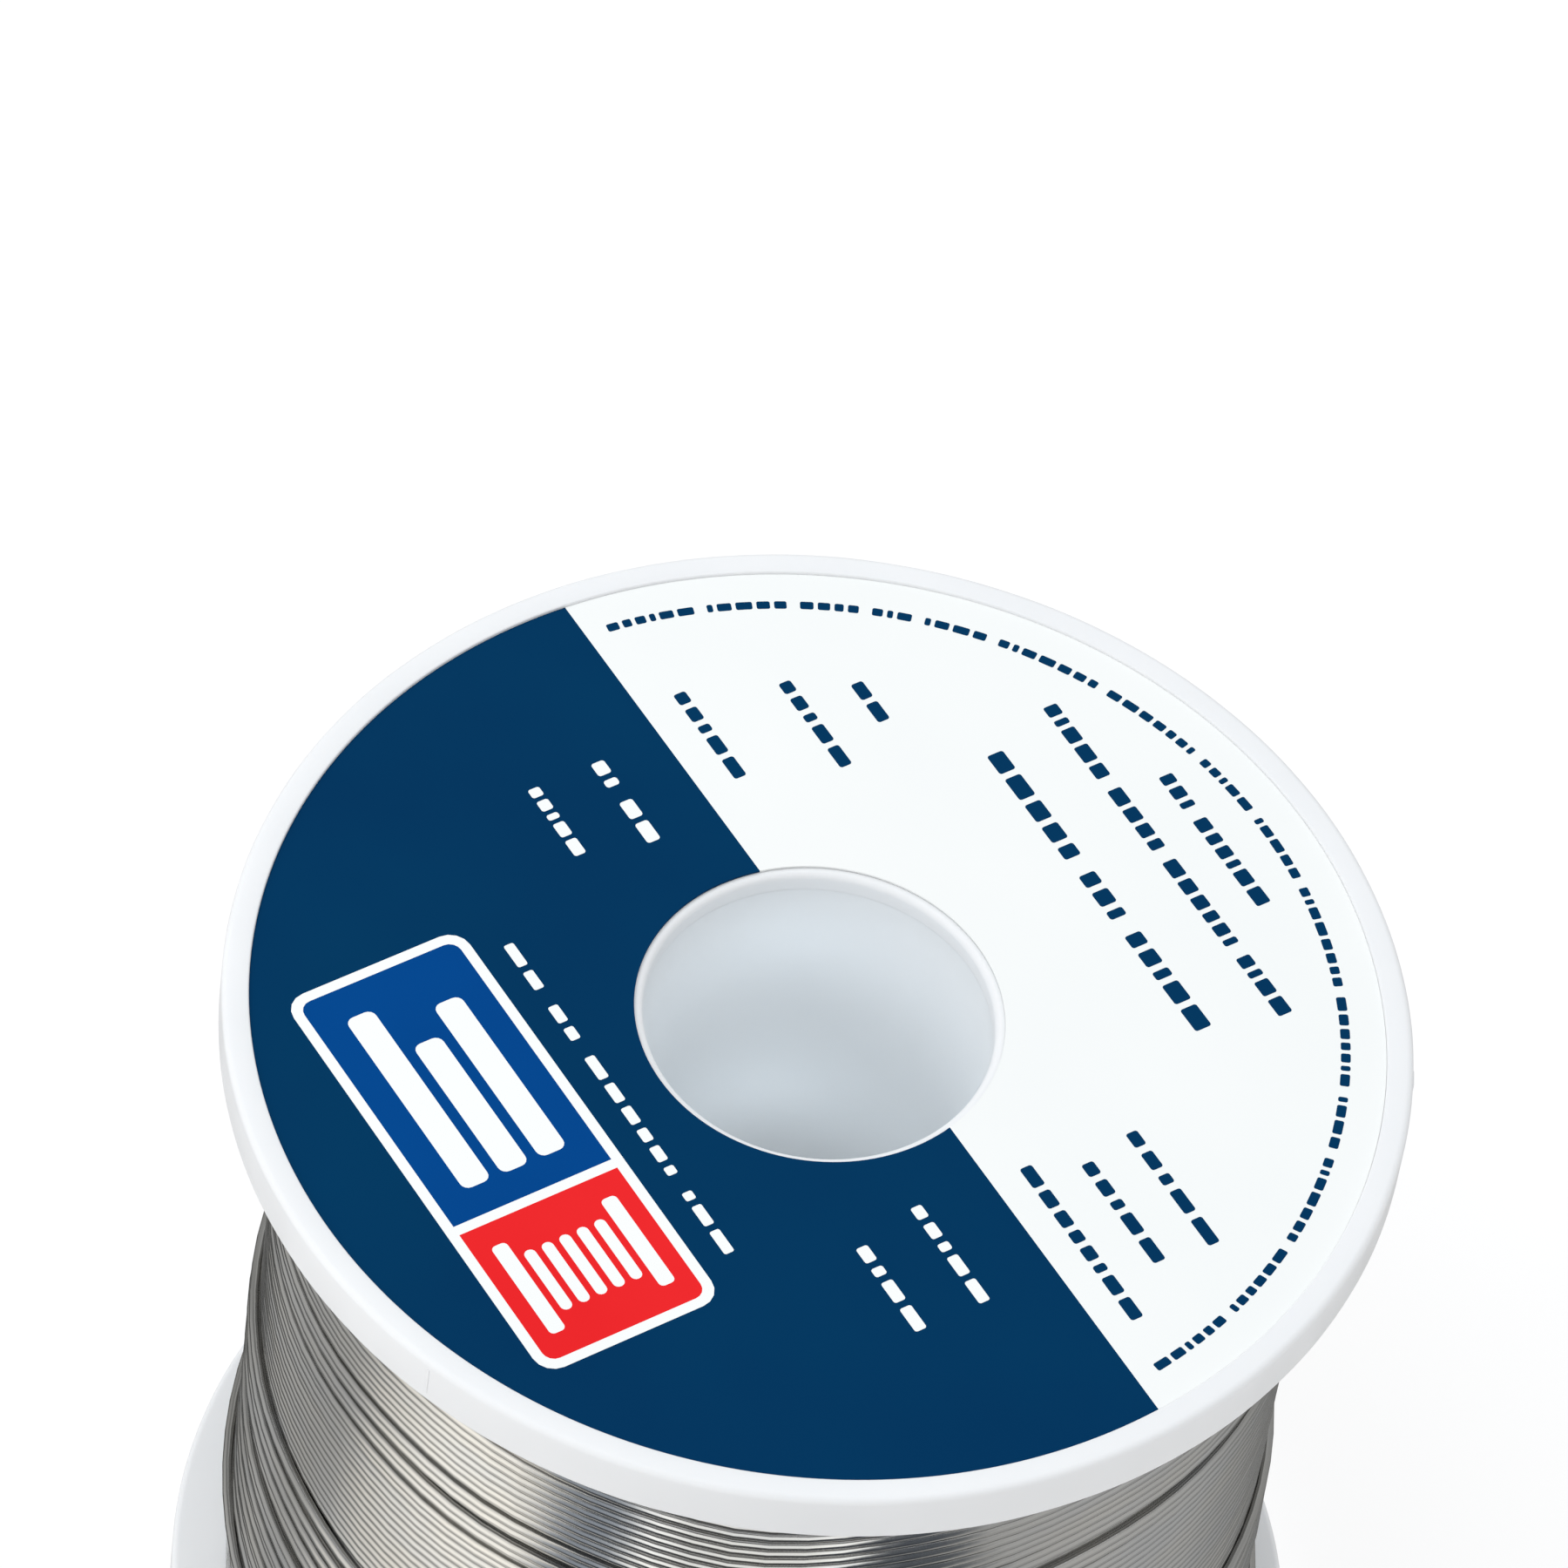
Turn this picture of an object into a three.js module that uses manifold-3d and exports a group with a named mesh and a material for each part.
// A 0.5 kg spool of 0.7 mm solder wire, in millimetres.
// +Z runs up the spool's axis, and the origin is the centre of the face it stands on.

import * as THREE from 'three';
import { mergeVertices } from 'three/addons/utils/BufferGeometryUtils.js';
import Module from 'manifold-3d';

const wasm = await Module();
wasm.setup();

// Driving dimensions
const SPOOL_HEIGHT = 61;
const FLANGE_RADIUS = 34.5;
const FLANGE_THICKNESS = 3.6;
const BORE_RADIUS = 10.2;
const WIRE_DIAMETER = 0.7;
const BARREL_RADIUS = 22.6;
const WINDING_RADIUS = 31.1;
const WALL = 1.6;

// Fits and edges
const EDGE_RADIUS = 0.5;
const SLIP_GAP = 0.15;
const END_GAP = 0.1;
const AROUND = 96;

// Label recess on the outer face of each flange
const RIM_WIDTH = 1.6;
const RECESS_DEPTH = 0.4;
const LABEL_THICKNESS = 0.15;
const ADHESIVE_GAP = 0.05;
const LABEL_RADIUS = FLANGE_RADIUS - RIM_WIDTH - 0.1;
const LABEL_HOLE_RADIUS = BORE_RADIUS + EDGE_RADIUS + 0.05;

// Sockets on the inner face of each flange
const TUBE_SOCKET_DEPTH = 2;
const BARREL_SOCKET_DEPTH = 1.5;

// Hub
const TUBE_RADIUS = BORE_RADIUS + WALL;
const BARREL_BORE_RADIUS = BARREL_RADIUS - WALL;
const FIN_COUNT = 6;
const FIN_THICKNESS = 1.4;
const FIN_GAP = 0.3;

// Wire ends: the inner one is bent through the barrel, the outer one is wedged in a slit in the lower flange
const WIRE_RADIUS = WIRE_DIAMETER / 2;
const START_HOLE_RADIUS = 0.6;
const START_ANGLE = THREE.MathUtils.degToRad(200);
const START_HEIGHT = FLANGE_THICKNESS + 2.4;
const START_LENGTH = 3;
const SLIT_WIDTH = 1;
const SLIT_DEPTH = 1.35;
const SLIT_ANGLE = THREE.MathUtils.degToRad(100);

const LOWER_FACE = FLANGE_THICKNESS;
const UPPER_FACE = SPOOL_HEIGHT - FLANGE_THICKNESS;

// Finishes

function whitePlastic() {
  return new THREE.MeshStandardMaterial({ color: 0xf1f4f6, roughness: 0.42, metalness: 0 });
}

function greyPlastic() {
  return new THREE.MeshStandardMaterial({ color: 0xdfe5e9, roughness: 0.4, metalness: 0 });
}

function paper(color) {
  return new THREE.MeshStandardMaterial({ color, roughness: 0.35, metalness: 0 });
}

function solder() {
  return new THREE.MeshStandardMaterial({ color: 0xb9b7b0, roughness: 0.3, metalness: 1 });
}

// Geometry helpers

function piece(name, geometry, material) {
  const mesh = new THREE.Mesh(geometry, material);
  mesh.name = name;
  return mesh;
}

// Turns a closed outline, drawn as radius across and height up, about the spool's axis.
function turned(outline) {
  const geometry = new THREE.LatheGeometry(outline.getPoints(1), AROUND);
  geometry.rotateX(Math.PI / 2);
  return geometry;
}

function toSolid(geometry) {
  const bare = geometry.clone();
  bare.deleteAttribute('normal');
  bare.deleteAttribute('uv');
  const merged = mergeVertices(bare, 1e-4);
  const vertProperties = new Float32Array(merged.attributes.position.array);
  const triVerts = new Uint32Array(merged.index.array);
  return new wasm.Manifold(new wasm.Mesh({ numProp: 3, vertProperties, triVerts }));
}

function toGeometry(solid) {
  const mesh = solid.getMesh();
  const geometry = new THREE.BufferGeometry();
  geometry.setAttribute('position', new THREE.BufferAttribute(new Float32Array(mesh.vertProperties), 3));
  geometry.setIndex(new THREE.BufferAttribute(new Uint32Array(mesh.triVerts), 1));
  geometry.computeVertexNormals();
  return geometry;
}

function onCircle(radius, angle, height) {
  return new THREE.Vector3(radius * Math.cos(angle), radius * Math.sin(angle), height);
}

function ringOutline(inner, outer, bottom, top) {
  const outline = new THREE.Path();
  outline.moveTo(inner, bottom);
  outline.lineTo(outer, bottom);
  outline.lineTo(outer, top);
  outline.lineTo(inner, top);
  outline.lineTo(inner, bottom);
  return outline;
}

// Reel

// One flange with its inner face at height 0: rounded rim, label recess, bore mouth and hub sockets.
function flangeOutline() {
  const recessFloor = FLANGE_THICKNESS - RECESS_DEPTH;
  const rimInner = FLANGE_RADIUS - RIM_WIDTH;
  const rimCentre = FLANGE_RADIUS - EDGE_RADIUS;
  const mouthRadius = BORE_RADIUS + EDGE_RADIUS;
  const outline = new THREE.Path();
  outline.moveTo(BARREL_RADIUS + SLIP_GAP, 0);
  outline.lineTo(rimCentre, 0);
  outline.absarc(rimCentre, EDGE_RADIUS, EDGE_RADIUS, -Math.PI / 2, 0);
  outline.absarc(rimCentre, FLANGE_THICKNESS - EDGE_RADIUS, EDGE_RADIUS, 0, Math.PI / 2);
  outline.lineTo(rimInner, FLANGE_THICKNESS);
  outline.lineTo(rimInner, recessFloor);
  outline.absarc(mouthRadius, recessFloor - EDGE_RADIUS, EDGE_RADIUS, Math.PI / 2, Math.PI);
  outline.lineTo(BORE_RADIUS, TUBE_SOCKET_DEPTH);
  outline.lineTo(TUBE_RADIUS + SLIP_GAP, TUBE_SOCKET_DEPTH);
  outline.lineTo(TUBE_RADIUS + SLIP_GAP, 0);
  outline.lineTo(BARREL_BORE_RADIUS - SLIP_GAP, 0);
  outline.lineTo(BARREL_BORE_RADIUS - SLIP_GAP, BARREL_SOCKET_DEPTH);
  outline.lineTo(BARREL_RADIUS + SLIP_GAP, BARREL_SOCKET_DEPTH);
  outline.lineTo(BARREL_RADIUS + SLIP_GAP, 0);
  return outline;
}

function topFlange() {
  const geometry = turned(flangeOutline());
  geometry.translate(0, 0, UPPER_FACE);
  return piece('top_flange', geometry, whitePlastic());
}

// The same moulding turned over, with a slit sawn into its rim for the wire's outer end.
function bottomFlange() {
  const flange = turned(flangeOutline());
  flange.rotateX(Math.PI);
  flange.translate(0, 0, LOWER_FACE);

  const cut = new THREE.BoxGeometry(2 * SLIT_DEPTH, SLIT_WIDTH, 3 * FLANGE_THICKNESS);
  cut.translate(FLANGE_RADIUS, 0, 0);
  cut.rotateZ(SLIT_ANGLE);
  return piece('bottom_flange', toGeometry(toSolid(flange).subtract(toSolid(cut))), whitePlastic());
}

// The tube that turns on a spindle, with the fins that keep the barrel round and centred.
function core() {
  const tubeEnd = FLANGE_THICKNESS - TUBE_SOCKET_DEPTH + END_GAP;
  const tube = turned(ringOutline(BORE_RADIUS, TUBE_RADIUS, tubeEnd, SPOOL_HEIGHT - tubeEnd));
  const finRoot = BORE_RADIUS + WALL / 2;
  const finTip = BARREL_BORE_RADIUS - SLIP_GAP;
  const finHeight = UPPER_FACE - LOWER_FACE - 2 * FIN_GAP;

  let solid = toSolid(tube);
  for (let i = 0; i < FIN_COUNT; i += 1) {
    const fin = new THREE.BoxGeometry(finTip - finRoot, FIN_THICKNESS, finHeight);
    fin.translate((finRoot + finTip) / 2, 0, SPOOL_HEIGHT / 2);
    fin.rotateZ((i * 2 * Math.PI) / FIN_COUNT);
    solid = solid.add(toSolid(fin));
  }
  return piece('core', toGeometry(solid), greyPlastic());
}

// The drum that the wire is wound on, with one small hole for the wire's inner end.
function barrel() {
  const end = FLANGE_THICKNESS - BARREL_SOCKET_DEPTH + END_GAP;
  const drum = turned(ringOutline(BARREL_BORE_RADIUS, BARREL_RADIUS, end, SPOOL_HEIGHT - end));

  const hole = new THREE.CylinderGeometry(START_HOLE_RADIUS, START_HOLE_RADIUS, 4 * WALL, 16);
  hole.rotateZ(Math.PI / 2);
  hole.translate(BARREL_RADIUS, 0, START_HEIGHT);
  hole.rotateZ(START_ANGLE);
  return piece('barrel', toGeometry(toSolid(drum).subtract(toSolid(hole))), greyPlastic());
}

// Labels

function label(name, bottom) {
  const outline = ringOutline(LABEL_HOLE_RADIUS, LABEL_RADIUS, bottom, bottom + LABEL_THICKNESS);
  return piece(name, turned(outline), paper(name === 'top_label' ? 0x00365e : 0xf4f8fa));
}

function topLabel() {
  return label('top_label', SPOOL_HEIGHT - RECESS_DEPTH + ADHESIVE_GAP);
}

function bottomLabel() {
  return label('bottom_label', RECESS_DEPTH - ADHESIVE_GAP - LABEL_THICKNESS);
}

// Wire: one length, kept as its wound inner layers, its outermost layer and its two ends

function innerLayers() {
  const outer = WINDING_RADIUS - WIRE_DIAMETER;
  const outline = ringOutline(BARREL_RADIUS + END_GAP, outer, LOWER_FACE + SLIP_GAP, UPPER_FACE - SLIP_GAP);
  return piece('inner_layers', turned(outline), solder());
}

function outerLayer() {
  const inner = WINDING_RADIUS - WIRE_DIAMETER + END_GAP / 2;
  const bottom = LOWER_FACE + SLIP_GAP;
  const top = UPPER_FACE - SLIP_GAP;
  const shoulder = WINDING_RADIUS - WIRE_RADIUS;
  const outline = new THREE.Path();
  outline.moveTo(inner, bottom);
  outline.lineTo(shoulder, bottom);
  outline.absarc(shoulder, bottom + WIRE_RADIUS, WIRE_RADIUS, -Math.PI / 2, 0);
  outline.absarc(shoulder, top - WIRE_RADIUS, WIRE_RADIUS, 0, Math.PI / 2);
  outline.lineTo(inner, top);
  outline.lineTo(inner, bottom);
  return piece('outer_layer', turned(outline), solder());
}

function wireStart() {
  const stub = new THREE.CylinderGeometry(WIRE_RADIUS, WIRE_RADIUS, START_LENGTH, 12);
  stub.rotateZ(Math.PI / 2);
  stub.translate(BARREL_RADIUS - START_LENGTH / 2, 0, START_HEIGHT);
  stub.rotateZ(START_ANGLE);
  return piece('wire_start', stub, solder());
}

// The last part-turn runs down the outside of the winding, crosses the overhang and dips into the slit.
function tailRoute() {
  const startAngle = SLIT_ANGLE - THREE.MathUtils.degToRad(80);
  const bendAngle = SLIT_ANGLE - THREE.MathUtils.degToRad(5);
  const startHeight = LOWER_FACE + 6;
  const bendHeight = LOWER_FACE + 1.8;
  const lyingRadius = WINDING_RADIUS + WIRE_RADIUS + END_GAP;
  const slitRadius = FLANGE_RADIUS - SLIT_DEPTH + WIRE_RADIUS + END_GAP;
  const steps = 12;

  const route = [];
  for (let i = 0; i <= steps; i += 1) {
    const along = i / steps;
    const outward = THREE.MathUtils.smoothstep(along, 0.6, 1);
    const radius = THREE.MathUtils.lerp(lyingRadius, slitRadius - WIRE_RADIUS, outward);
    const angle = THREE.MathUtils.lerp(startAngle, bendAngle, along);
    route.push(onCircle(radius, angle, THREE.MathUtils.lerp(startHeight, bendHeight, along)));
  }
  route.push(onCircle(slitRadius, SLIT_ANGLE - THREE.MathUtils.degToRad(1), LOWER_FACE + WIRE_DIAMETER));
  route.push(onCircle(slitRadius, SLIT_ANGLE, LOWER_FACE / 2 + WIRE_DIAMETER));
  route.push(onCircle(slitRadius, SLIT_ANGLE, WIRE_DIAMETER));
  return new THREE.CatmullRomCurve3(route);
}

function wireTail() {
  const section = new THREE.Shape();
  section.absarc(0, 0, WIRE_RADIUS, 0, 2 * Math.PI);
  const geometry = new THREE.ExtrudeGeometry(section, {
    extrudePath: tailRoute(),
    curveSegments: 4,
    steps: 36,
    bevelEnabled: false,
  });
  return piece('wire_tail', geometry, solder());
}

const reel = new THREE.Group();
reel.add(topFlange(), bottomFlange(), core(), barrel());

const labels = new THREE.Group();
labels.add(topLabel(), bottomLabel());

const wire = new THREE.Group();
wire.add(innerLayers(), outerLayer(), wireStart(), wireTail());

const spool = new THREE.Group();
spool.add(reel, labels, wire);

export default spool;
